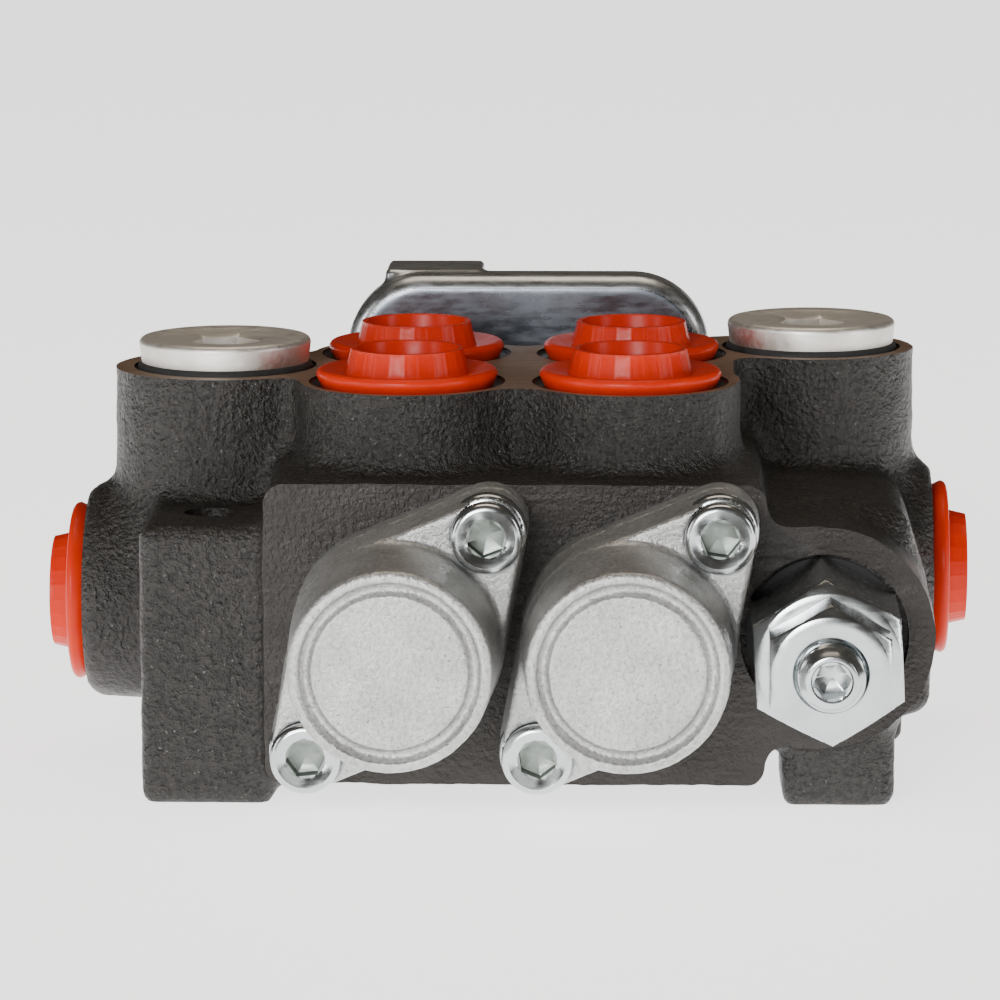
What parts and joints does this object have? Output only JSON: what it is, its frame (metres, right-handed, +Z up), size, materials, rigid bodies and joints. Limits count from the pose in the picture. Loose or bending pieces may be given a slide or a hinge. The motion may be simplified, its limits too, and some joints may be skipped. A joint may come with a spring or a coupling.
{
  "type": "hydraulic monoblock valve",
  "caption": "Cast monoblock directional valve with spring-centred spools, cross lever linkage, relief valve, plugged top ports and red caps in its threaded ports.",
  "frame": {"origin": "on the mounting plane, at the centre of the four mounting holes, midway between the spools", "axes": "+X from the inlet side to the outlet side, +Y from the spool caps to the lever, +Z up to the port plane"},
  "size_m": [0.1481, 0.172, 0.073],
  "materials": {
    "cast_iron": "dark as-cast skin with machined faces",
    "cast_alloy": "die-cast, fine grained",
    "zinc_steel": "bright zinc plated",
    "plated_plug": "dull zinc plated",
    "plated_sheet": "blue zinc plated pressing",
    "bright_steel": "ground",
    "dark_steel": "machined, lightly oiled",
    "spring_steel": "oiled wire",
    "red_plastic": "glossy moulded",
    "seal_rubber": "matt"
  },
  "bodies": {
    "valve": {"valve_body": "cast_iron", "spool_cap_1": "cast_alloy", "spool_cap_2": "cast_alloy", "cap_screws": "zinc_steel", "cap_washers": "zinc_steel", "fixed_seat_1": "bright_steel", "fixed_seat_2": "bright_steel", "centring_spring_1": "spring_steel", "centring_spring_2": "spring_steel", "spool_seals": "seal_rubber", "seal_plate": "zinc_steel", "lever_bracket": "plated_sheet", "bracket_screws": "zinc_steel", "pivot_post": "bright_steel", "pivot_pin": "bright_steel", "relief_cartridge": "zinc_steel", "relief_seal": "seal_rubber", "relief_spring": "spring_steel", "check_plug": "zinc_steel", "check_spring": "spring_steel", "plug_seal_left": "seal_rubber", "plug_seal_right": "seal_rubber", "top_plug_left": "plated_plug", "top_plug_right": "plated_plug"},
    "gimbal": {"gimbal_ring": "dark_steel"},
    "lever": {"rocker_plate": "dark_steel", "rocker_pins": "bright_steel", "lever_hub": "dark_steel", "hub_screws": "zinc_steel"},
    "relief_adjuster": {"relief_adjuster": "zinc_steel"},
    "relief_lock_nut": {"relief_lock_nut": "zinc_steel"},
    "relief_button": {"relief_spring_button": "bright_steel"},
    "relief_poppet": {"relief_poppet": "bright_steel"},
    "check_poppet": {"check_poppet": "bright_steel"},
    "spool_1": {"spool_1": "bright_steel", "spool_screw_1": "bright_steel", "moving_seat_1": "bright_steel", "link_stud_1": "zinc_steel", "link_nuts_1": "zinc_steel"},
    "spool_2": {"spool_2": "bright_steel", "spool_screw_2": "bright_steel", "moving_seat_2": "bright_steel", "link_stud_2": "zinc_steel", "link_nuts_2": "zinc_steel"},
    "port_cap_a1": {"port_cap_a1": "red_plastic"},
    "port_cap_b1": {"port_cap_b1": "red_plastic"},
    "port_cap_a2": {"port_cap_a2": "red_plastic"},
    "port_cap_b2": {"port_cap_b2": "red_plastic"},
    "port_cap_left": {"port_cap_left": "red_plastic"},
    "port_cap_right": {"port_cap_right": "red_plastic"}
  },
  "joints": [
    {"name": "lever_tilt_for_spool_2", "type": "hinge", "parent": "valve", "child": "gimbal", "pos_m": [0, 0.064, 0.053], "axis": [0.5735, 0, 0.8192], "range_deg": [-10, 10], "stiffness_Nm_per_rad": 3.3},
    {"name": "lever_tilt_for_spool_1", "type": "hinge", "parent": "gimbal", "child": "lever", "pos_m": [0, 0.064, 0.053], "axis": [0.5735, 0, -0.8192], "range_deg": [-10, 10], "stiffness_Nm_per_rad": 3.3},
    {"name": "spool_1_slide", "type": "slide", "parent": "valve", "child": "spool_1", "axis": [0, 1, 0], "range_m": [-0.005, 0.005], "deforming": ["centring_spring_1"]},
    {"name": "spool_2_slide", "type": "slide", "parent": "valve", "child": "spool_2", "axis": [0, 1, 0], "range_m": [-0.005, 0.005], "deforming": ["centring_spring_2"]},
    {"name": "relief_adjuster_turn", "type": "hinge", "parent": "valve", "child": "relief_adjuster", "pos_m": [0.0474, -0.07, 0.027], "axis": [0, -1, 0], "range_deg": [-720, 0]},
    {"name": "relief_button_travel", "type": "slide", "parent": "valve", "child": "relief_button", "axis": [0, 1, 0], "range_m": [0, 0.0021], "deforming": ["relief_spring"]},
    {"name": "relief_lock_nut_turn", "type": "hinge", "parent": "valve", "child": "relief_lock_nut", "pos_m": [0.0474, -0.065, 0.027], "axis": [0, -1, 0], "range_deg": [0, 360]},
    {"name": "relief_poppet_lift", "type": "slide", "parent": "valve", "child": "relief_poppet", "axis": [0, -1, 0], "range_m": [0, 0.0015], "stiffness_N_per_m": 3000, "springref_m": -0.001, "deforming": ["relief_spring"]},
    {"name": "check_poppet_lift", "type": "slide", "parent": "valve", "child": "check_poppet", "axis": [0, 0, -1], "range_m": [0, 0.0025], "stiffness_N_per_m": 300, "springref_m": -0.002, "deforming": ["check_spring"]},
    {"name": "port_cap_a1_pull", "type": "slide", "parent": "valve", "child": "port_cap_a1", "axis": [0, 0, 1], "range_m": [0, 0.03]},
    {"name": "port_cap_b1_pull", "type": "slide", "parent": "valve", "child": "port_cap_b1", "axis": [0, 0, 1], "range_m": [0, 0.03]},
    {"name": "port_cap_a2_pull", "type": "slide", "parent": "valve", "child": "port_cap_a2", "axis": [0, 0, 1], "range_m": [0, 0.03]},
    {"name": "port_cap_b2_pull", "type": "slide", "parent": "valve", "child": "port_cap_b2", "axis": [0, 0, 1], "range_m": [0, 0.03]},
    {"name": "port_cap_left_pull", "type": "slide", "parent": "valve", "child": "port_cap_left", "axis": [-1, 0, 0], "range_m": [0, 0.03]},
    {"name": "port_cap_right_pull", "type": "slide", "parent": "valve", "child": "port_cap_right", "axis": [1, 0, 0], "range_m": [0, 0.03]}
  ],
  "couplings": [
    {"joint": "spool_2_slide", "follows": "lever_tilt_for_spool_2", "m_per_rad": 0.0286},
    {"joint": "spool_1_slide", "follows": "lever_tilt_for_spool_1", "m_per_rad": 0.0286},
    {"joint": "relief_button_travel", "follows": "relief_adjuster_turn", "m_per_rad": -0.00015915}
  ]
}
